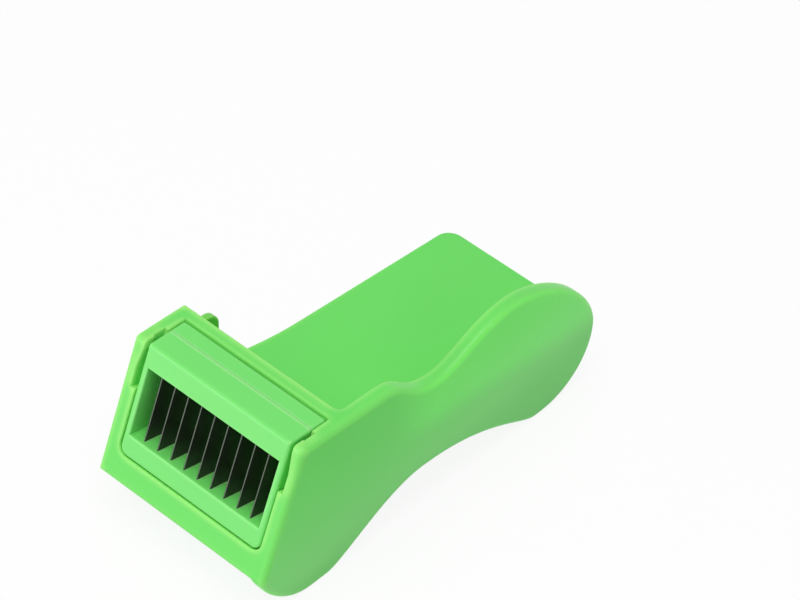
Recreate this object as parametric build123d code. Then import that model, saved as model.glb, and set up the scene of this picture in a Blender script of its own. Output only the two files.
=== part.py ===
from build123d import *
from math import atan2, cos, pi, sin
import os

# Hand-held bean slicer: a moulded grip with a sloped feed plate, a lift-out
# cassette of upright blades and a flat tab on its low side.  Millimetres,
# +Z up, +X towards the tall cheek, beans travel along -Y.  Origin: middle of
# the front foot, on the surface the slicer stands on.

os.makedirs("parts", exist_ok=True)

# ---- head: the slanted front face and the top plane ------------------------
BODY_HALF = 28.5          # half the width over both cheeks
FRONT_Y = -18.0           # lower front edge of the slanted face
SILL_Z = 13.3             # height of that edge
TOP_Z = 49.3              # height of the upper front edge
TOP_RUN = 14.1            # how far that edge sits behind the lower one
TOP_FALL = 0.045          # fall of the top plane per mm towards the back
TOP_CORNER = 1.3          # round of the upper front corners
SILL_BEVEL = 0.5          # bevel of the lower front edge
OVER = 8.0                # how far cutting shapes run past the solid

# ---- tall cheek, seen from the side as (Y, Z) -------------------------------
CHEEK_T = 4.5             # thickness
FOOT_Y0 = -1.5            # front end of the flat under the front foot
FOOT_Y1 = 4.0             # back end of that flat
FOOT_LEAD = (2.5, -6.8)   # first lead of the foot's round, from the front edge
FOOT_RUN = 7.0            # run-out of that round onto the flat
SHELL_LEAD = (4.6, -3.9)  # the same between the cheeks, set back
SHELL_RUN = 5.0           # and its run-out
BEND_Y = 25.0             # end of the level top
BEND_LEAD = 7.5           # length of the top's lead into the dip
DIP = (44.0, 39.6)        # lowest point of the thumb dip
DIP_LEADS = (10.5, 7.0)   # leads before and behind it
CREST = (70.3, 46.7)      # highest point of the rear bulge
CREST_LEADS = (12.5, 6.5)  # leads before and behind it
BULGE = (89.5, 39.9)      # shoulder of the bulge
BULGE_LEADS = (6.5, 4.0, 5.2, 3.2)  # leads before and behind it
HEEL_Y = 83.2             # where the heel round meets the ground
HEEL_R = 19.3             # radius of the heel round
HEEL_RISE = 8.0           # lead from the heel round up into the bulge
HEEL_FLAT = 2.6           # length of the flat under the heel
HEEL_LEAD = 5.0           # run-in to that flat
ARCH = (38.0, 12.7)       # top of the finger arch
ARCH_LEADS = (13.5, 24.0)  # leads before and behind it
ARCH_RUN = 7.0            # run-in from the front foot
OUTER_ROUND = 1.5         # rounding of the outer edges
RIM_ROUND = 0.8           # rounding of the inner edges

# ---- low cheek -------------------------------------------------------------
LOW_T = 3.8               # thickness
LOW_BACK = 40.0           # how far it runs back under the plate
LOW_LEAD = 13.0           # lead of its underside
LOW_ROUND = 0.6           # rounding of its outer edges
FOOT_BACK = 9.0           # run-in from the front foot

# ---- feed plate ------------------------------------------------------------
PLATE_Y = 39.0            # place where the plate height is given
PLATE_Z = 21.8            # top of the plate there
PLATE_FALL = 0.0845       # fall of the plate per mm towards the back
PLATE_T = 3.0             # plate thickness
PLATE_END = 104.8         # back edge of the plate
PLATE_CORNER = 4.4        # corner radius of the back edge
FLARE_Y = 48.0            # where the low side starts to flare out
SHOULDER_Y = 19.0         # where it has reached the full width
EDGE_ROUND = 0.8          # rounding of the plate's top edge
RIM_T = 2.0               # thickness of the rim under the plate
RIM_H = 2.0               # depth of the rim below the plate
RIM_Y = 24.0              # front end of the rim

# ---- pocket for the cassette, in head axes: s up the slant, d behind it ----
POCKET_WALL = 4.05        # wall left beside the pocket
SEAT_S = 7.2              # bottom of the pocket
CASS_D = 11.7             # cassette depth
GAP_SIDE = 0.35           # running gap beside the cassette
GAP_SEAT = 0.30           # running gap under the cassette
GAP_BACK = 0.40           # running gap behind the cassette
CASS_CORNER = 2.4         # round of the two lower corners
SILL_T = 3.0              # wall thickness of sill, shell and riser
SILL_LIP = 1.5            # height of the sill's inner edge
RELIEF_X = 1.8            # finger relief: width beside the cassette
RELIEF_TOP = 1.0          # the same at the open top
RELIEF_D = 2.85           # finger relief: depth
RELIEF_S = (25.3, 31.0, 36.5)  # lower end, start and end of its taper
RIB_OUT = 1.05            # guide rib: how far it stands out
RIB_D = (3.2, 6.2)        # guide rib: front and back
RIB_S = (10.0, 33.0)      # guide rib: lower and upper end
BAR_T = 3.6               # cross bar behind the cassette: thickness
BAR_S = 33.0              # cross bar: lower edge
MOUTH_ROUND = 0.3         # rounding of the pocket's front edges
BAR_CORNER = 2.5          # inner round between cross bar and tall cheek

# ---- cassette: front and rear frame ----------------------------------------
PART_D = 6.8              # depth of the parting line between the frames
FRAME_SIDE = 1.8          # width of the frames beside the window
WIN_S = (13.3, 32.5)      # window floor and top at the front face
WIN_RISE = 0.14           # rise of the floor per mm of depth
WIN_ROUND = 0.35          # rounding of the window's front edges
FRAME_ROUND = 0.8         # rounding of the frames' outer edges

# ---- blades ----------------------------------------------------------------
BLADE_N = 9               # number of blades
END_GAP = 0.88            # gap at each end of the row, in blade pitches
BLADE_T = 0.3             # blade thickness
BLADE_D = (1.3, 10.4)     # back edge and cutting edge, behind the front face
BLADE_BEVEL = 1.6         # length of the ground cutting edge
BLADE_LAND = 0.08         # width left at the cutting edge
BLADE_SEAT = 1.2          # length held in the frames at each end
BLADE_CLEAR = 0.02        # clearance in the blade slots

# ---- side tab --------------------------------------------------------------
LEAF_T = 1.9              # thickness of the upright leaf
LEAF_Y = (7.5, 22.3)      # front and back edge of the leaf
LEAF_TOP = 40.7           # top of the leaf
LEAF_R = 4.1              # round of the upper back corner
LEAF_NOSE = 3.2           # round of the upper front corner
LEAF_ROUND = 0.4          # rounding of its inner edge
LEAF_CLEAR = 0.05         # clearance in the recess
TAB_OUT = 13.5            # how far the tab stands out
TAB_Z = 20.2              # top face of the tab
TAB_T = 5.0               # tab thickness
TAB_TAPER = 1.2           # narrowing on each side towards the tip
TAB_SET = 0.5             # setback of its front edge from the leaf
TAB_CORNER = 1.2          # round of its two free corners
TAB_ROUND = 0.6           # rounding of its edges
SLIT_Z = 17.6             # lower face of the slit
SLIT_H = 1.2              # height of the slit
SLIT_D = 10.0             # depth of the slit from the leaf's front edge
SLIT_END = 1.5            # wall left at the tip

SLANT = atan2(TOP_RUN, TOP_Z - SILL_Z)
SIN_A = sin(SLANT)
COS_A = cos(SLANT)
HIGH = 2 * TOP_Z          # well above everything
NEAR_INNER = BODY_HALF - CHEEK_T
FAR_INNER = -BODY_HALF + LOW_T
POCKET_HALF = BODY_HALF - POCKET_WALL
POCKET_D = CASS_D + GAP_BACK
CASS_HALF = POCKET_HALF - GAP_SIDE
CASS_S = SEAT_S + GAP_SEAT
BAR_D = POCKET_D + BAR_T


def slant_yz(s, d):
    """Point s mm up the slanted face and d mm behind it, as (Y, Z)."""
    return (FRONT_Y + s * SIN_A + d * COS_A, SILL_Z + s * COS_A - d * SIN_A)


def top_z(y):
    """Height of the top plane."""
    return TOP_Z - TOP_FALL * (y - FRONT_Y - TOP_RUN)


def plate_z(y):
    """Height of the feed plate's top face."""
    return PLATE_Z - PLATE_FALL * (y - PLATE_Y)


def rise_to(z0, y0, fall, d):
    """Distance s up the slant where depth d meets a plane that falls backwards."""
    drop = fall * (FRONT_Y + d * COS_A - y0)
    return (z0 - SILL_Z + d * SIN_A - drop) / (COS_A + fall * SIN_A)


def on_top(d):
    """Point of the top plane at depth d."""
    return slant_yz(rise_to(TOP_Z, FRONT_Y + TOP_RUN, TOP_FALL, d), d)


def on_plate(d):
    """Point of the plate's top face at depth d."""
    return slant_yz(rise_to(PLATE_Z, PLATE_Y, PLATE_FALL, d), d)


def lead(point, dy, dz=0.0):
    """Control point at an offset from a (Y, Z) point."""
    return (point[0] + dy, point[1] + dz)


def polygon(*points):
    """Flat face with straight sides."""
    return make_face(Polyline(*points, close=True))


def side_prism(face, x0, x1):
    """Extrude a (Y, Z) face from x0 to x1."""
    return extrude(Plane.YZ.offset(x0) * face, amount=x1 - x0)


def near_vertex(face, point):
    """Vertex of a flat face closest to a point."""
    return face.vertices().sort_by_distance((point[0], point[1], 0))[0]


def edges_at(solid, test):
    """Edges of a solid whose middle point passes a test."""
    return solid.edges().filter_by(lambda e: test(e @ 0.5))


HEAD = Plane(
    origin=(0, FRONT_Y, SILL_Z),
    x_dir=(1, 0, 0),
    z_dir=(0, SIN_A, COS_A),
)
FACE = Plane(
    origin=(0, FRONT_Y, SILL_Z),
    x_dir=(1, 0, 0),
    z_dir=(0, -COS_A, SIN_A),
)


def head_prism(face, d0, d1):
    """Extrude an (X, s) face of the slanted front from depth d0 to d1."""
    return extrude(FACE.offset(-d1) * face, amount=d1 - d0)


def head_box(x0, x1, d0, d1, s0, s1):
    """Box in head axes."""
    low, high = sorted((x0, x1))
    return head_prism(polygon((low, s0), (high, s0), (high, s1), (low, s1)), d0, d1)


def head_panel(half, s0, corner, d0, d1):
    """Panel in head axes with rounded lower corners, open upwards."""
    panel = polygon((-half, s0), (half, s0), (half, HIGH), (-half, HIGH))
    panel = fillet(near_vertex(panel, (-half, s0)), corner)
    panel = fillet(near_vertex(panel, (half, s0)), corner)
    return head_prism(panel, d0, d1)


corner_front = (FRONT_Y, SILL_Z)
corner_top = (FRONT_Y + TOP_RUN, TOP_Z)
foot_0 = (FOOT_Y0, 0.0)
foot_1 = (FOOT_Y1, 0.0)
foot_round = Bezier(
    corner_front,
    lead(corner_front, *FOOT_LEAD),
    lead(foot_0, -FOOT_RUN),
    foot_0,
)
shell_round = Bezier(
    corner_front,
    lead(corner_front, *SHELL_LEAD),
    lead(foot_0, -SHELL_RUN),
    foot_0,
)

# ---- tall cheek ------------------------------------------------------------
bend = (BEND_Y, top_z(BEND_Y))
heel_0 = (HEEL_Y - HEEL_FLAT, 0.0)
heel_1 = (HEEL_Y, 0.0)
heel_back = (HEEL_Y + HEEL_R, HEEL_R)
heel_mid = (HEEL_Y + HEEL_R * sin(pi / 4), HEEL_R * (1 - cos(pi / 4)))
tall_face = make_face([
    Line(corner_front, corner_top),
    Line(corner_top, bend),
    Bezier(bend, lead(bend, BEND_LEAD, -BEND_LEAD * TOP_FALL), lead(DIP, -DIP_LEADS[0]), DIP),
    Bezier(DIP, lead(DIP, DIP_LEADS[1]), lead(CREST, -CREST_LEADS[0]), CREST),
    Bezier(
        CREST,
        lead(CREST, CREST_LEADS[1]),
        lead(BULGE, -BULGE_LEADS[0], BULGE_LEADS[1]),
        BULGE,
        lead(BULGE, BULGE_LEADS[2], -BULGE_LEADS[3]),
        lead(heel_back, 0.0, HEEL_RISE),
        heel_back,
    ),
    ThreePointArc(heel_back, heel_mid, heel_1),
    Line(heel_1, heel_0),
    Bezier(heel_0, lead(heel_0, -HEEL_LEAD), lead(ARCH, ARCH_LEADS[1]), ARCH),
    Bezier(ARCH, lead(ARCH, -ARCH_LEADS[0]), lead(foot_1, ARCH_RUN), foot_1),
    Line(foot_1, foot_0),
    foot_round,
])
tall_face = fillet(near_vertex(tall_face, corner_top), TOP_CORNER)
tall_cheek = side_prism(tall_face, NEAR_INNER, BODY_HALF)
tall_cheek = fillet(tall_cheek.faces().sort_by(Axis.X)[-1].edges(), OUTER_ROUND)
tall_cheek = fillet(
    edges_at(
        tall_cheek,
        lambda p: p.X < NEAR_INNER + 0.1 and p.Y > BEND_Y and p.Z > ARCH[1] + 2,
    ),
    RIM_ROUND,
)

# ---- head: low cheek, sill, shell, riser and cross bar as one block --------
bar_top = on_top(BAR_D)
bar_foot = slant_yz(rise_to(PLATE_Z - PLATE_T / 2, PLATE_Y, PLATE_FALL, BAR_D), BAR_D)
low_end = (LOW_BACK, plate_z(LOW_BACK) - PLATE_T / 2)
low_under = (LOW_BACK, plate_z(LOW_BACK) - PLATE_T - RIM_H / 2)
head_face = make_face([
    Line(corner_front, corner_top),
    Line(corner_top, bar_top),
    Line(bar_top, bar_foot),
    Line(bar_foot, low_end),
    Line(low_end, low_under),
    Bezier(low_under, lead(low_under, -LOW_LEAD), lead(foot_1, FOOT_BACK), foot_1),
    Line(foot_1, foot_0),
    shell_round,
])
head_face = fillet(near_vertex(head_face, corner_top), TOP_CORNER)
head = side_prism(head_face, -BODY_HALF, NEAR_INNER + CHEEK_T / 4)
head = fillet(
    edges_at(
        head,
        lambda p: p.Z > bar_top[1] - 0.01
        and abs(p.Y - bar_top[0]) < 0.01,
    ),
    LOW_ROUND,
)
head = fillet(
    edges_at(
        head,
        lambda p: p.X < -BODY_HALF + 0.01
        and p.Y < bar_top[0] + 0.1
        and p.Z > plate_z(p.Y) + 1.0,
    ),
    LOW_ROUND,
)

riser = on_plate(POCKET_D)
under_y = 2 * LOW_BACK
shell_in = slant_yz(SILL_LIP, SILL_T)
under_face = make_face([
    Line(shell_in, slant_yz(SEAT_S - SILL_T, SILL_T)),
    Line(slant_yz(SEAT_S - SILL_T, SILL_T), slant_yz(SEAT_S - SILL_T, POCKET_D + SILL_T)),
    Line(
        slant_yz(SEAT_S - SILL_T, POCKET_D + SILL_T),
        (riser[0] + 2 * SILL_T, plate_z(riser[0] + 2 * SILL_T) - PLATE_T),
    ),
    Line(
        (riser[0] + 2 * SILL_T, plate_z(riser[0] + 2 * SILL_T) - PLATE_T),
        (under_y, plate_z(under_y) - PLATE_T),
    ),
    Line((under_y, plate_z(under_y) - PLATE_T), (under_y, -OVER)),
    Line((under_y, -OVER), (FOOT_Y1, -OVER)),
    Line((FOOT_Y1, -OVER), (FOOT_Y1, SILL_T)),
    Line((FOOT_Y1, SILL_T), (FOOT_Y0, SILL_T)),
    Bezier(
        (FOOT_Y0, SILL_T),
        (FOOT_Y0 - SHELL_RUN, SILL_T),
        lead(shell_in, *SHELL_LEAD),
        shell_in,
    ),
])
throat_face = polygon(
    riser,
    slant_yz(BAR_S, POCKET_D),
    slant_yz(BAR_S, BAR_D + OVER),
    (under_y, plate_z(under_y)),
)
head = head - side_prism(under_face, FAR_INNER, BODY_HALF)
head = head - side_prism(throat_face, FAR_INNER, NEAR_INNER)

# ---- feed plate and the rim under it ---------------------------------------
flare_run = FLARE_Y - SHOULDER_Y
flare_rise = BODY_HALF + FAR_INNER
flare_r = (flare_run ** 2 + flare_rise ** 2) / (2 * flare_rise)
half_turn = atan2(flare_run, flare_r - flare_rise) / 2
flare_mid = (
    FAR_INNER - flare_r * (1 - cos(half_turn)),
    FLARE_Y - flare_r * sin(half_turn),
)
plate_right = NEAR_INNER + CHEEK_T / 4


def plate_plan(inset):
    """Outline of the grip seen from above, inset on its free edges."""
    left = FAR_INNER + inset
    back = PLATE_END - inset
    front = FRONT_Y - OVER
    low = -BODY_HALF + inset
    plan = make_face([
        Line((low, front), (low, SHOULDER_Y)),
        ThreePointArc(
            (low, SHOULDER_Y),
            (flare_mid[0] + inset, flare_mid[1]),
            (left, FLARE_Y),
        ),
        Line((left, FLARE_Y), (left, back)),
        Line((left, back), (plate_right, back)),
        Line((plate_right, back), (plate_right, front)),
        Line((plate_right, front), (low, front)),
    ])
    plan = fillet(near_vertex(plan, (left, back)), PLATE_CORNER - inset)
    return fillet(near_vertex(plan, (plate_right, back)), PLATE_CORNER - inset)


def sloped_slab(y0, top_drop, bottom_drop):
    """Slab along the plate's slope, from y0 to past the back edge."""
    y1 = PLATE_END + OVER
    outline = polygon(
        (y0, plate_z(y0) - top_drop),
        (y1, plate_z(y1) - top_drop),
        (y1, plate_z(y1) - bottom_drop),
        (y0, plate_z(y0) - bottom_drop),
    )
    return side_prism(outline, -BODY_HALF - OVER, BODY_HALF)


plan_solid = extrude(plate_plan(0.0), amount=HIGH)
hollow_solid = extrude(plate_plan(RIM_T), amount=HIGH)
plate_y0 = riser[0] + SILL_T
plate = sloped_slab(plate_y0, 0.0, PLATE_T) & plan_solid
plate = fillet(
    edges_at(
        plate,
        lambda p: abs(p.Z - plate_z(p.Y)) < 0.01
        and p.Y > plate_y0 + 1
        and p.X < plate_right - 1,
    ),
    EDGE_ROUND,
)
rim = sloped_slab(RIM_Y, PLATE_T / 2, PLATE_T + RIM_H) & plan_solid
rim = rim - hollow_solid
head = head & plan_solid
body = tall_cheek + head + plate + rim

# ---- bevel of the lower front edge -----------------------------------------
bevel_up = slant_yz(SILL_BEVEL, 0)
bevel_low = lead(corner_front, SILL_BEVEL * SIN_A, -SILL_BEVEL * COS_A)
bevel_dy = bevel_low[0] - bevel_up[0]
bevel_dz = bevel_low[1] - bevel_up[1]
bevel = polygon(
    lead(bevel_up, -bevel_dy, -bevel_dz),
    lead(bevel_low, bevel_dy, bevel_dz),
    lead(corner_front, -OVER, -OVER),
)
body = body - side_prism(bevel, -BODY_HALF - OVER, BODY_HALF + OVER)

# ---- pocket, finger reliefs and guide grooves ------------------------------
pocket = head_panel(POCKET_HALF, SEAT_S, CASS_CORNER + GAP_SEAT, -OVER, POCKET_D)
body = body - pocket
relief_half = CASS_HALF + RELIEF_X
for side in (-1, 1):
    inside = side * (CASS_HALF - 1.0)
    relief = polygon(
        (inside, RELIEF_S[0]),
        (side * relief_half, RELIEF_S[0]),
        (side * relief_half, RELIEF_S[1]),
        (side * (CASS_HALF + RELIEF_TOP), RELIEF_S[2]),
        (side * (CASS_HALF + RELIEF_TOP), HIGH),
        (inside, HIGH),
    )
    body = body - head_prism(relief, -OVER, RELIEF_D)
    body = body - head_box(
        inside, side * (CASS_HALF + RIB_OUT + GAP_SIDE),
        RIB_D[0] - GAP_SIDE, RIB_D[1] + GAP_SIDE, RIB_S[0] - GAP_SIDE, HIGH,
    )

# ---- rounded edges of the head ---------------------------------------------
body = fillet(
    edges_at(
        body,
        lambda p: abs(p.X - NEAR_INNER) < 0.01
        and p.Z > slant_yz(BAR_S, BAR_D)[1] - 0.01
        and slant_yz(BAR_S, POCKET_D)[0] < p.Y < bar_top[0],
    ),
    BAR_CORNER,
)


def head_sd(p):
    """Head axes (s, d) of a point."""
    y = p.Y - FRONT_Y
    z = p.Z - SILL_Z
    return (y * SIN_A + z * COS_A, y * COS_A - z * SIN_A)


mouth_x = relief_half + 0.1
mouth_s = rise_to(TOP_Z, FRONT_Y + TOP_RUN, TOP_FALL, 0.0) - TOP_CORNER / 2
body = fillet(
    edges_at(
        body,
        lambda p: abs(head_sd(p)[1]) < 0.01
        and abs(p.X) < mouth_x
        and SEAT_S - 0.1 < head_sd(p)[0] < mouth_s,
    ),
    MOUTH_ROUND,
)
body = fillet(
    edges_at(
        body,
        lambda p: abs(p.Z - top_z(p.Y)) < 0.01
        and abs(p.X) < mouth_x - 0.2
        and RIB_D[0] < head_sd(p)[1] < POCKET_D + 0.1,
    ),
    MOUTH_ROUND,
)

# ---- side tab: upright leaf, flat tab with a slit, and the leaf's recess ----
leaf_bottom = TAB_Z - TAB_T
leaf_inner = -BODY_HALF + LEAF_T
tab_y = (LEAF_Y[0] + TAB_SET, LEAF_Y[1])
tab_tip = -BODY_HALF - TAB_OUT


def leaf_face(grow):
    """Side view of the upright leaf, grown by a clearance."""
    y0 = LEAF_Y[0] - grow
    y1 = LEAF_Y[1] + grow
    z0 = leaf_bottom - grow
    z1 = LEAF_TOP + grow
    outline = polygon((y0, z0), (y1, z0), (y1, z1), (y0, z1))
    outline = fillet(near_vertex(outline, (y1, z1)), LEAF_R + grow)
    return fillet(near_vertex(outline, (y0, z1)), LEAF_NOSE + grow)


body = body - side_prism(
    leaf_face(LEAF_CLEAR), -BODY_HALF - OVER, leaf_inner + LEAF_CLEAR
)
tab_plan = polygon(
    (leaf_inner, tab_y[0]),
    (-BODY_HALF, tab_y[0]),
    (tab_tip, tab_y[0] + TAB_TAPER),
    (tab_tip, tab_y[1] - TAB_TAPER),
    (-BODY_HALF, tab_y[1]),
    (leaf_inner, tab_y[1]),
)
tab_plan = fillet(near_vertex(tab_plan, (tab_tip, tab_y[0])), TAB_CORNER)
tab_plan = fillet(near_vertex(tab_plan, (tab_tip, tab_y[1])), TAB_CORNER)
tab = extrude(Plane.XY.offset(leaf_bottom) * tab_plan, amount=TAB_T)
tab = fillet(
    edges_at(
        tab,
        lambda p: p.X < -BODY_HALF - TAB_ROUND / 2
        and abs(p.Z - leaf_bottom - TAB_T / 2) > TAB_T / 4,
    ),
    TAB_ROUND,
)
leaf = side_prism(leaf_face(0.0), -BODY_HALF, leaf_inner)
slit = Pos(
    (tab_tip + SLIT_END - BODY_HALF) / 2,
    LEAF_Y[0] + SLIT_D / 2,
    SLIT_Z + SLIT_H / 2,
) * Box(TAB_OUT - SLIT_END, SLIT_D, SLIT_H)
side_tab = leaf + tab - slit
side_tab = fillet(
    edges_at(
        side_tab,
        lambda p: abs(p.X - leaf_inner) < 0.01 and p.Z > TAB_Z and p.Y > LEAF_Y[0] + 0.1,
    ),
    LEAF_ROUND,
)
export_step(body, "parts/body.step")
export_step(side_tab, "parts/side_tab.step")

# ---- cassette frames -------------------------------------------------------
over = polygon(
    (FRONT_Y - OVER, top_z(FRONT_Y - OVER)),
    (PLATE_END, top_z(PLATE_END)),
    (PLATE_END, 2 * HIGH),
    (FRONT_Y - OVER, 2 * HIGH),
)
over = side_prism(over, -BODY_HALF - OVER, BODY_HALF + OVER)
win_half = CASS_HALF - FRAME_SIDE
window = side_prism(
    polygon(
        slant_yz(WIN_S[0] - WIN_RISE * OVER, -OVER),
        slant_yz(WIN_S[0] + WIN_RISE * 2 * CASS_D, 2 * CASS_D),
        slant_yz(WIN_S[1], 2 * CASS_D),
        slant_yz(WIN_S[1], -OVER),
    ),
    -win_half,
    win_half,
)
front_frame = head_panel(CASS_HALF, CASS_S, CASS_CORNER, 0.0, PART_D) - over
rear_frame = head_panel(CASS_HALF, CASS_S, CASS_CORNER, PART_D, CASS_D) - over


def rounded(frame, depth):
    """Frame with its outer edges rounded, apart from the parting line."""
    return fillet(
        edges_at(
            frame,
            lambda p: abs(head_sd(p)[1] - PART_D) > 0.01
            and (
                abs(head_sd(p)[1] - depth) < 0.01
                or abs(abs(p.X) - CASS_HALF) < 0.01
                and p.Z > top_z(p.Y) - 0.01
            ),
        ),
        FRAME_ROUND,
    )


front_frame = rounded(front_frame, 0.0)
rear_frame = rounded(rear_frame, CASS_D)
front_frame = front_frame - window
rear_frame = rear_frame - window
front_frame = fillet(
    edges_at(
        front_frame,
        lambda p: abs(head_sd(p)[1]) < 0.01
        and abs(p.X) < win_half + 0.01
        and WIN_S[0] - 0.1 < head_sd(p)[0] < WIN_S[1] + 0.1,
    ),
    WIN_ROUND,
)
for side in (-1, 1):
    front_frame = front_frame + head_box(
        side * (CASS_HALF - 0.5), side * (CASS_HALF + RIB_OUT), *RIB_D, *RIB_S
    )

# ---- blades and their slots ------------------------------------------------
pitch = 2 * win_half / (BLADE_N - 1 + 2 * END_GAP)
slot_s = (WIN_S[0] - BLADE_SEAT, WIN_S[1] + BLADE_SEAT)
slot_half = BLADE_T / 2 + BLADE_CLEAR
for k in range(BLADE_N):
    x = (k - (BLADE_N - 1) / 2) * pitch
    slot = head_box(x - slot_half, x + slot_half, *BLADE_D, *slot_s)
    front_frame = front_frame - slot
    rear_frame = rear_frame - slot
    half = BLADE_T / 2
    land = BLADE_LAND / 2
    bevel_d = BLADE_D[1] - BLADE_BEVEL
    profile = polygon(
        (x - half, BLADE_D[0]),
        (x + half, BLADE_D[0]),
        (x + half, bevel_d),
        (x + land, BLADE_D[1]),
        (x - land, BLADE_D[1]),
        (x - half, bevel_d),
    )
    blade = extrude(HEAD.offset(slot_s[0]) * profile, amount=slot_s[1] - slot_s[0])
    export_step(blade, f"parts/blade_{k + 1}.step")

export_step(front_frame, "parts/cassette_front.step")
export_step(rear_frame, "parts/cassette_rear.step")
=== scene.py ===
"""Looks of a hand-held bean slicer: moulded green plastic, a lift-out blade cassette
and nine ground steel blades, on a plain pale floor under soft studio light."""

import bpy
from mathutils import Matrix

bl_info = {
    "name": "Bean Slicer Looks",
    "version": (1, 0, 0),
    "blender": (4, 5, 0),
    "location": "View3D > Sidebar > Bean Slicer",
    "description": "Finishes and studio for a hand-held bean slicer",
    "category": "Object",
}

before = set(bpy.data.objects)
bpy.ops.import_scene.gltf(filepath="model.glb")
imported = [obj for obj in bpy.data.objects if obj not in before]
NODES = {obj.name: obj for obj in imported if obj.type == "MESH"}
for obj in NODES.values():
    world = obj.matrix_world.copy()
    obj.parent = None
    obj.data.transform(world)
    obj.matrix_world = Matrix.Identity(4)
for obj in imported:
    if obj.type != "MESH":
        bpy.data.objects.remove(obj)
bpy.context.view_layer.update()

import bpy
from mathutils import Euler, Vector

BLADE_NAMES = sorted(name for name in NODES if name.startswith("blade_"))

# plastic
TRACE_RAYS = 8                  # rays that find the edges and their rounding
# painted highlight: thin edges get a paler colour in place of the highlight the light gives them
EDGE_HIGHLIGHT_FADE = (0.5, 0.97)          # enclosure over which an edge stops being pale
DRIFT_DARK = 0.94               # darkest and lightest tone of the slow colour drift
DRIFT_LIGHT = 1.06
GRAIN_GLOSS = 0.08              # change of gloss with the mould grain
PLASTIC_IOR = 1.46
GLOW_COLOR = (0.6, 1.0, 0.4)    # which light travels inside the plastic
GLOW_DEPTH = 0.0015

# tall cheek, in metres and in slopes along its length
SIDE_FADE = (0.1, 0.95)         # how far a face turns outwards to count as the side
FACE_FADE = (0.8, 0.98)         # the same for the flat outer face alone
MIDDLE_SLOPE = 0.12             # middle line of the outer face
MIDDLE_Z = 0.026
HALF_HEIGHT = 0.024
# painted backlight: the cheek is painted paler where it stands free
FREE_SLOPE = 0.10               # where the cheek stands free above the feed plate
FREE_Z = (0.0262, 0.0362)
FREE_Y = (0.026, 0.044)
FREE_X = (0.0236, 0.0244)
ARCH_Y = (0.010, 0.022)         # where the finger arch and the heel lie
ARCH_Z = (0.017, 0.025)

# steel
BLADE_SLANT = -0.3735           # turn of the blades about X, in radians
LINE_SCALE = (1.0, 9000.0, 160.0)
CLOUD_SCALE = 260.0
EDGE_FADE = (0.2, 0.7)          # how far a face turns from the blade's sides
LINE_DEPTH = 0.00002
LINE_STRENGTH = 0.5
LINE_GLOSS = 0.12
SIDE_METAL = 0.5                # blackened sides, with barer edges
EDGE_METAL = 0.3

# floor
FLOOR_TONE = (0.9, 0.9, 0.9, 1.0)
FLOOR_ROUGHNESS = 0.9
FLOOR_WHITE = 0.9               # share of plain white where the floor is seen
WHITE = (1.0, 1.0, 1.0, 1.0)


# ---- shader building --------------------------------------------------------

class Field:
    """A shader socket that adds Math nodes when it is used in an expression."""

    def __init__(self, shop, socket):
        self.shop = shop
        self.socket = socket

    def math(self, operation, first, second):
        return self.shop.node("Math", {"operation": operation}, {0: first, 1: second})

    def __add__(self, other):
        return self.math("ADD", self, other)

    __radd__ = __add__

    def __sub__(self, other):
        return self.math("SUBTRACT", self, other)

    def __rsub__(self, other):
        return self.math("SUBTRACT", other, self)

    def __mul__(self, other):
        return self.math("MULTIPLY", self, other)

    __rmul__ = __mul__

    def __truediv__(self, other):
        return self.math("DIVIDE", self, other)

    def clamp(self):
        return self.shop.node("Clamp", {}, {"Value": self})


class Shop:
    """Adds nodes to the tree of a material or of the room."""

    def __init__(self, owner):
        owner.use_nodes = True
        self.owner = owner
        self.tree = owner.node_tree

    def node(self, kind, settings, inputs, output=0):
        """Adds a node: its settings first, then a value or link for each socket."""
        made = self.tree.nodes.new("ShaderNode" + kind)
        for key, value in settings.items():
            setattr(made, key, value)
        for key, value in inputs.items():
            if isinstance(value, Field):
                self.tree.links.new(value.socket, made.inputs[key])
            else:
                made.inputs[key].default_value = value
        return Field(self, made.outputs[output])

    def blend(self, factor, first, second):
        """Mixes two colours by a factor."""
        return self.node(
            "Mix", {"data_type": "RGBA"}, {0: factor, 6: first, 7: second}, output=2
        )

    def noise(self, vector, scale, detail=2.0, roughness=0.5):
        return self.node("TexNoise", {}, {
            "Vector": vector, "Scale": scale, "Detail": detail, "Roughness": roughness,
        })

    def vector(self, operation, first, second=(0.0, 0.0, 0.0)):
        return self.node("VectorMath", {"operation": operation}, {0: first, 1: second})

    def part(self, vector, axis):
        """One component of a vector."""
        return self.node("SeparateXYZ", {}, {0: vector}, output=axis)

    def ramp(self, value, low, high):
        """Smooth rise from 0 at low to 1 at high."""
        return self.node("MapRange", {"interpolation_type": "SMOOTHSTEP"}, {
            "Value": value, "From Min": low, "From Max": high,
        })

    def finish(self, **sockets):
        """Sets or links the Principled shader's sockets."""
        shader = self.tree.nodes["Principled BSDF"]
        for key, value in sockets.items():
            socket = shader.inputs[key.replace("_", " ")]
            if isinstance(value, Field):
                self.tree.links.new(value.socket, socket)
            else:
                socket.default_value = value
        return self.owner


# ---- finishes ---------------------------------------------------------------

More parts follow.
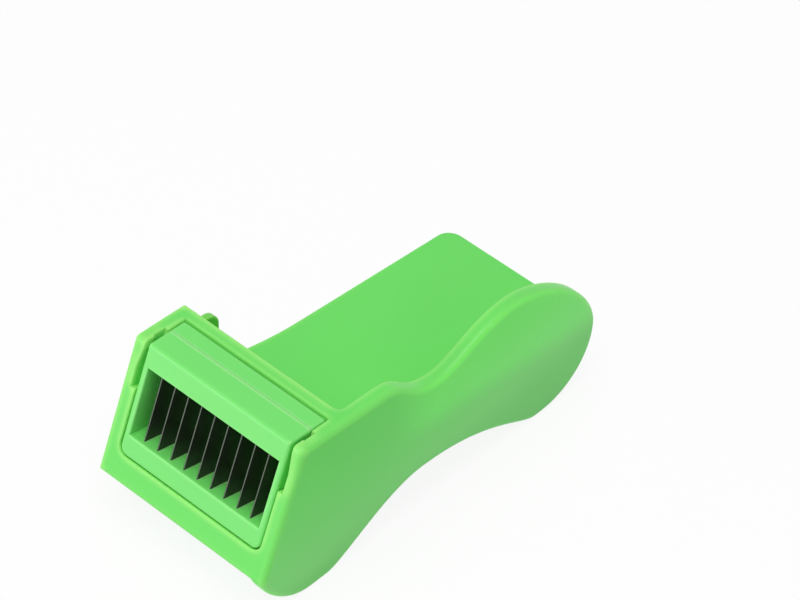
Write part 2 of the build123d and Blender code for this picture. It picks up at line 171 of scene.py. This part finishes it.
def moulded_plastic(name, color, rim_color, reach, shine, looks, grip=False):
    """Satin injection-moulded plastic with softly rounded edges, painted paler along them as a
    highlight; on the grip also a painted backlight where the tall cheek stands free.
    """
    shop = Shop(bpy.data.materials.new(name))
    place = shop.node("TexCoord", {}, {}, output="Object")
    flat = shop.node("NewGeometry", {}, {}, output="Normal")
    rounded = shop.node("Bevel", {"samples": TRACE_RAYS}, {"Radius": looks.edge_radius})
    depth = shop.node(
        "AmbientOcclusion", {"samples": TRACE_RAYS, "inside": True}, {"Distance": reach},
        output="AO",
    )
    # painted highlight: mask of edges where the plastic is thin, which are painted paler
    painted_edge_highlight = 1 - shop.ramp(depth, *EDGE_HIGHLIGHT_FADE)
    drift = shop.noise(place, looks.drift_scale, detail=1.0)
    grain = shop.noise(place, looks.grain_scale, detail=3.0, roughness=0.6)
    shade = (drift - 0.5) * looks.drift_depth + 0.5
    dark = tuple(DRIFT_DARK * c for c in color[:3]) + (1.0,)
    light = tuple(min(1.0, DRIFT_LIGHT * c) for c in color[:3]) + (1.0,)
    base = shop.blend(shade.clamp(), dark, light)
    surface = rounded
    if grip:
        x = shop.part(place, "X")
        y = shop.part(place, "Y")
        z = shop.part(place, "Z")
        outward = shop.ramp(shop.part(flat, "X"), *SIDE_FADE)
        # painted backlight: paler base colour where the cheek's outer face stands free above the
        # feed plate
        lit = painted_backlight_mask(shop, x, y, z) * outward
        base = shop.blend(lit, base, tuple(looks.painted_backlight_color))
        # no painted edge highlight round the finger arch and the heel, which stay in shade
        painted_edge_highlight = painted_edge_highlight * (1 - arch_edge(shop, y, z))
        surface = shop.vector("NORMALIZE", shop.vector(
            "ADD", rounded, cheek_crown(shop, y, z, flat, looks.crown)
        ))
    # paints the edge highlight into the base colour
    base = shop.blend(painted_edge_highlight * looks.edge_highlight_depth, base, tuple(rim_color))
    normal = shop.node("Bump", {}, {
        "Strength": 1.0, "Distance": looks.grain_depth, "Height": grain, "Normal": surface,
    })
    return shop.finish(
        Base_Color=base,
        Roughness=looks.roughness + (grain - 0.5) * GRAIN_GLOSS,
        Normal=normal,
        IOR=PLASTIC_IOR,
        Specular_IOR_Level=shine,
        Subsurface_Weight=looks.glow,
        Subsurface_Radius=GLOW_COLOR,
        Subsurface_Scale=GLOW_DEPTH,
    )


def cheek_crown(shop, y, z, flat, amount):
    """Leans the tall cheek's outer face up above its middle line and down below it."""
    outer = shop.ramp(shop.part(flat, "X"), *FACE_FADE)
    lean_up = (z - y * MIDDLE_SLOPE - MIDDLE_Z) / HALF_HEIGHT * amount
    return shop.node("CombineXYZ", {}, {"Z": lean_up * outer})


def painted_backlight_mask(shop, x, y, z):
    """The tall cheek above the feed plate, where light comes through from behind; there a paler
    colour is painted as backlight.
    """
    above = shop.ramp(z + y * FREE_SLOPE, *FREE_Z)
    return above * shop.ramp(y, *FREE_Y) * shop.ramp(x, *FREE_X)


def arch_edge(shop, y, z):
    """Edges round the finger arch and the heel, which stay in the grip's own shade."""
    return shop.ramp(y, *ARCH_Y) * (1 - shop.ramp(z, *ARCH_Z))


def ground_steel(name, looks):
    """Thin blackened steel with fine grinding lines and paler cutting edges, partly bare steel
    and partly a painted highlight.
    """
    shop = Shop(bpy.data.materials.new(name))
    place = shop.node("TexCoord", {}, {}, output="Object")
    flat = shop.node("NewGeometry", {}, {}, output="Normal")
    along = shop.node("Mapping", {}, {
        "Vector": place, "Rotation": (BLADE_SLANT, 0.0, 0.0), "Scale": LINE_SCALE,
    })
    lines = shop.noise(along, 1.0, detail=3.0)
    clouds = shop.noise(place, CLOUD_SCALE, detail=2.0)
    sideways = shop.part(flat, "X")
    edge = shop.ramp(1 - sideways * sideways, *EDGE_FADE)
    base = shop.blend(clouds, tuple(looks.steel_dark), tuple(looks.steel_light))
    # paler edge colour: bare steel along the edges together with a painted highlight line
    base = shop.blend(edge, base, tuple(looks.steel_edge_and_highlight))
    normal = shop.node("Bump", {}, {
        "Strength": LINE_STRENGTH, "Distance": LINE_DEPTH, "Height": lines,
    })
    return shop.finish(
        Base_Color=base,
        Metallic=edge * EDGE_METAL + SIDE_METAL,
        Roughness=looks.steel_roughness + (lines - 0.5) * LINE_GLOSS,
        Normal=normal,
    )


def dress(node_name, material):
    """Gives a carried-over solid its finish."""
    slots = NODES[node_name].material_slots
    if not slots:
        NODES[node_name].data.materials.append(material)
    for slot in slots:
        slot.material = material


# ---- sizes and colours ------------------------------------------------------

class BeanSlicerLooks(bpy.types.PropertyGroup):
    """Colours and finishes of the slicer."""

    body_color: bpy.props.FloatVectorProperty(
        name="Body", description="Colour of the moulded grip",
        subtype="COLOR", size=4, min=0.0, max=1.0, default=(0.145, 0.71, 0.118, 1.0),
    )
    # painted shade: the side tab is given a darker colour than the body to stand in for the
    # shade it sits in
    shaded_tab_color: bpy.props.FloatVectorProperty(
        name="Side tab", description="Colour of the side tab",
        subtype="COLOR", size=4, min=0.0, max=1.0, default=(0.125, 0.58, 0.060, 1.0),
    )
    cassette_color: bpy.props.FloatVectorProperty(
        name="Cassette", description="Colour of the two cassette frames",
        subtype="COLOR", size=4, min=0.0, max=1.0, default=(0.155, 0.72, 0.135, 1.0),
    )
    # painted highlight: paler colour painted along thin rounded edges
    rim_color: bpy.props.FloatVectorProperty(
        name="Rims", description="Paler colour along thin rounded edges",
        subtype="COLOR", size=4, min=0.0, max=1.0, default=(0.42, 0.89, 0.22, 1.0),
    )
    edge_radius: bpy.props.FloatProperty(
        name="Edge round", description="Small rounding that the light sees on every edge",
        subtype="DISTANCE", default=0.0006,
    )
    # painted highlight: paler lines painted along the cassette's edges
    line_color: bpy.props.FloatVectorProperty(
        name="Lines", description="Paler colour along the cassette's edges",
        subtype="COLOR", size=4, min=0.0, max=1.0, default=(0.37, 0.89, 0.30, 1.0),
    )
    # painted backlight: paler colour painted where light comes through the free-standing cheek
    painted_backlight_color: bpy.props.FloatVectorProperty(
        name="Lit through", description="Paler colour of the cheek where it stands free",
        subtype="COLOR", size=4, min=0.0, max=1.0, default=(0.165, 0.86, 0.130, 1.0),
    )
    # strength and reach of the painted edge highlight
    edge_highlight_depth: bpy.props.FloatProperty(
        name="Rim depth", description="How pale an edge turns",
        subtype="FACTOR", default=0.6,
    )
    edge_highlight_reach: bpy.props.FloatProperty(
        name="Rim reach", description="Depth of plastic below which an edge turns pale",
        subtype="DISTANCE", default=0.0024,
    )
    line_highlight_reach: bpy.props.FloatProperty(
        name="Line reach", description="The same for the thin lines on the small pieces",
        subtype="DISTANCE", default=0.0011,
    )
    crown: bpy.props.FloatProperty(
        name="Cheek crown", description="How much the tall cheek's outer face curves",
        subtype="FACTOR", default=0.3,
    )
    drift_scale: bpy.props.FloatProperty(
        name="Drift scale", description="Size of the slow colour drift, per metre", default=35.0,
    )
    drift_depth: bpy.props.FloatProperty(
        name="Drift depth", description="Strength of the slow colour drift",
        subtype="FACTOR", default=0.8,
    )
    grain_scale: bpy.props.FloatProperty(
        name="Grain scale", description="Fineness of the mould grain, per metre",
        default=2600.0,
    )
    grain_depth: bpy.props.FloatProperty(
        name="Grain depth", description="Depth of the mould grain",
        subtype="DISTANCE", default=0.000006, precision=6,
    )
    body_shine: bpy.props.FloatProperty(
        name="Body shine", description="Strength of the gloss on the grip",
        subtype="FACTOR", default=0.32,
    )
    cassette_shine: bpy.props.FloatProperty(
        name="Cassette shine", description="Strength of the gloss on the cassette",
        subtype="FACTOR", default=0.6,
    )
    roughness: bpy.props.FloatProperty(
        name="Roughness", description="Gloss of the plastic",
        subtype="FACTOR", default=0.36,
    )
    glow: bpy.props.FloatProperty(
        name="Glow", description="How much light travels inside the plastic",
        subtype="FACTOR", default=0.15,
    )
    steel_dark: bpy.props.FloatVectorProperty(
        name="Steel, dark", description="Darker tone of the blades",
        subtype="COLOR", size=4, min=0.0, max=1.0, default=(0.018, 0.020, 0.016, 1.0),
    )
    steel_light: bpy.props.FloatVectorProperty(
        name="Steel, light", description="Lighter tone of the blades",
        subtype="COLOR", size=4, min=0.0, max=1.0, default=(0.045, 0.048, 0.040, 1.0),
    )
    # edge colour is partly bare steel and partly a painted highlight
    steel_edge_and_highlight: bpy.props.FloatVectorProperty(
        name="Steel, edges", description="Bare steel along the cutting edges",
        subtype="COLOR", size=4, min=0.0, max=1.0, default=(0.085, 0.10, 0.08, 1.0),
    )
    steel_roughness: bpy.props.FloatProperty(
        name="Steel roughness", description="Gloss of the ground steel",
        subtype="FACTOR", default=0.34,
    )


class BeanSlicerStudio(bpy.types.PropertyGroup):
    """Floor, light and camera."""

    floor_size: bpy.props.FloatProperty(
        name="Floor", description="Side of the square floor",
        subtype="DISTANCE", default=6.0,
    )
    world_strength: bpy.props.FloatProperty(
        name="Room light", description="Brightness of the pale room", default=0.48,
    )
    key_power: bpy.props.FloatProperty(
        name="Key light", description="Power of the large soft key light",
        subtype="POWER", default=5.8,
    )
    key_size: bpy.props.FloatVectorProperty(
        name="Key size", description="Width and height of the key light",
        subtype="XYZ_LENGTH", size=2, default=(0.7, 0.7),
    )
    key_place: bpy.props.FloatVectorProperty(
        name="Key place", description="Where the key light stands",
        subtype="TRANSLATION", default=(0.10, -0.15, 1.00),
    )
    front_power: bpy.props.FloatProperty(
        name="Front light",
        description="Power of the smaller light that the front faces mirror",
        subtype="POWER", default=2.8,
    )
    front_size: bpy.props.FloatVectorProperty(
        name="Front size", description="Width and height of the front light",
        subtype="XYZ_LENGTH", size=2, default=(0.55, 0.20),
    )
    front_place: bpy.props.FloatVectorProperty(
        name="Front place", description="Where the front light stands",
        subtype="TRANSLATION", default=(-0.48, -0.84, 0.11),
    )
    camera_place: bpy.props.FloatVectorProperty(
        name="Camera place", description="Where the camera stands",
        subtype="TRANSLATION", default=(0.4634, -0.4481, 0.6901),
    )
    camera_turn: bpy.props.FloatVectorProperty(
        name="Camera turn", description="Which way the camera looks",
        subtype="EULER", default=(0.810693, -0.019296, 0.758370),
    )
    camera_lens: bpy.props.FloatProperty(
        name="Lens", description="Focal length on a 36 mm wide sensor",
        subtype="DISTANCE_CAMERA", default=170.66,
    )


# ---- operators --------------------------------------------------------------

class SLICER_OT_body(bpy.types.Operator):
    """Give the moulded grip and its side tab their satin green plastic"""

    bl_idname = "bean_slicer.body"
    bl_label = "Body and side tab"

    def execute(self, context):
        looks = context.scene.bean_slicer_looks
        dress("body", moulded_plastic(
            "body_plastic", looks.body_color, looks.rim_color, looks.edge_highlight_reach,
            looks.body_shine, looks, grip=True,
        ))
        # the tab's darker colour is painted shade
        dress("side_tab", moulded_plastic(
            "tab_plastic", looks.shaded_tab_color, looks.rim_color, looks.line_highlight_reach,
            looks.body_shine, looks,
        ))
        return {"FINISHED"}


class SLICER_OT_cassette(bpy.types.Operator):
    """Give the two cassette frames their slightly paler plastic"""

    bl_idname = "bean_slicer.cassette"
    bl_label = "Cassette frames"

    def execute(self, context):
        looks = context.scene.bean_slicer_looks
        plastic = moulded_plastic(
            "cassette_plastic", looks.cassette_color, looks.line_color, looks.line_highlight_reach,
            looks.cassette_shine, looks,
        )
        dress("cassette_front", plastic)
        dress("cassette_rear", plastic)
        return {"FINISHED"}


class SLICER_OT_blades(bpy.types.Operator):
    """Give the nine blades their ground steel"""

    bl_idname = "bean_slicer.blades"
    bl_label = "Blades"

    def execute(self, context):
        steel = ground_steel("blade_steel", context.scene.bean_slicer_looks)
        for name in BLADE_NAMES:
            dress(name, steel)
        return {"FINISHED"}


class SLICER_OT_stage(bpy.types.Operator):
    """Add the pale floor, the soft light and the camera"""

    bl_idname = "bean_slicer.stage"
    bl_label = "Studio"

    def execute(self, context):
        studio = context.scene.bean_slicer_studio
        add_floor(studio)
        light_room(context.scene, studio)
        add_soft_light("key_light", studio.key_place, studio.key_size, studio.key_power)
        add_soft_light("front_light", studio.front_place, studio.front_size, studio.front_power)
        add_camera(context.scene, studio)
        context.scene.view_settings.view_transform = "Standard"
        return {"FINISHED"}


def add_floor(studio):
    """Pale floor that reads as white and keeps a faint shadow."""
    bpy.ops.object.select_all(action="DESELECT")
    bpy.ops.mesh.primitive_plane_add(size=studio.floor_size, location=(0.0, 0.0, 0.0))
    floor = bpy.context.object
    floor.name = "floor"
    shop = Shop(bpy.data.materials.new("floor"))
    seen = seen_directly(shop)
    shop.finish(Base_Color=FLOOR_TONE, Roughness=FLOOR_ROUGHNESS)
    white = shop.node("Emission", {}, {"Color": WHITE, "Strength": 1.0})
    lit = Field(shop, shop.tree.nodes["Principled BSDF"].outputs[0])
    mixed = shop.node("MixShader", {}, {0: seen * FLOOR_WHITE, 1: lit, 2: white})
    surface = shop.tree.nodes["Material Output"].inputs["Surface"]
    shop.tree.links.new(mixed.socket, surface)
    floor.data.materials.append(shop.owner)


def seen_directly(shop):
    """1 for camera, mirror and see-through rays, 0 for the rays that light things."""
    camera = shop.node("LightPath", {}, {}, output="Is Camera Ray")
    glossy = shop.node("LightPath", {}, {}, output="Is Glossy Ray")
    through = shop.node("LightPath", {}, {}, output="Is Transmission Ray")
    return (camera + glossy + through).clamp()


def light_room(scene, studio):
    """White room: plain strength as light, full white where it is seen."""
    shop = Shop(bpy.data.worlds.new("room"))
    scene.world = shop.owner
    seen = seen_directly(shop)
    strength = seen * (1.0 - studio.world_strength) + studio.world_strength
    background = shop.tree.nodes["Background"]
    background.inputs["Color"].default_value = WHITE
    shop.tree.links.new(strength.socket, background.inputs["Strength"])


def add_soft_light(name, place, size, power):
    """A rectangular soft light, wide and high, that faces the object."""
    bpy.ops.object.select_all(action="DESELECT")
    place = Vector(place)
    turn = place.to_track_quat("Z", "Y").to_euler()
    bpy.ops.object.light_add(type="AREA", location=place, rotation=turn)
    light = bpy.context.object
    light.name = name
    light.data.shape = "RECTANGLE"
    light.data.size, light.data.size_y = size
    light.data.energy = power


def add_camera(scene, studio):
    bpy.ops.object.select_all(action="DESELECT")
    bpy.ops.object.camera_add(
        location=studio.camera_place, rotation=Euler(studio.camera_turn)
    )
    camera = bpy.context.object
    camera.name = "camera"
    camera.data.lens = studio.camera_lens
    camera.data.sensor_width = 36.0
    camera.data.clip_start = 0.01
    scene.camera = camera


class SLICER_PT_panel(bpy.types.Panel):
    """Lists the slicer's finishes and its studio"""

    bl_idname = "SLICER_PT_panel"
    bl_label = "Bean Slicer"
    bl_space_type = "VIEW_3D"
    bl_region_type = "UI"
    bl_category = "Bean Slicer"

    def draw(self, context):
        column = self.layout.column()
        for operator in OPERATORS:
            column.operator(operator.bl_idname)
        for group in (context.scene.bean_slicer_looks, context.scene.bean_slicer_studio):
            box = self.layout.box()
            for name in group.bl_rna.properties.keys():
                if name not in ("rna_type", "name"):
                    box.prop(group, name)


OPERATORS = (SLICER_OT_body, SLICER_OT_cassette, SLICER_OT_blades, SLICER_OT_stage)
CLASSES = (BeanSlicerLooks, BeanSlicerStudio) + OPERATORS + (SLICER_PT_panel,)


def register():
    for cls in CLASSES:
        bpy.utils.register_class(cls)
    bpy.types.Scene.bean_slicer_looks = bpy.props.PointerProperty(type=BeanSlicerLooks)
    bpy.types.Scene.bean_slicer_studio = bpy.props.PointerProperty(type=BeanSlicerStudio)


def unregister():
    del bpy.types.Scene.bean_slicer_studio
    del bpy.types.Scene.bean_slicer_looks
    for cls in reversed(CLASSES):
        bpy.utils.unregister_class(cls)


def main():
    register()
    bpy.ops.bean_slicer.body()
    bpy.ops.bean_slicer.cassette()
    bpy.ops.bean_slicer.blades()
    bpy.ops.bean_slicer.stage()


if __name__ == "__main__":
    main()
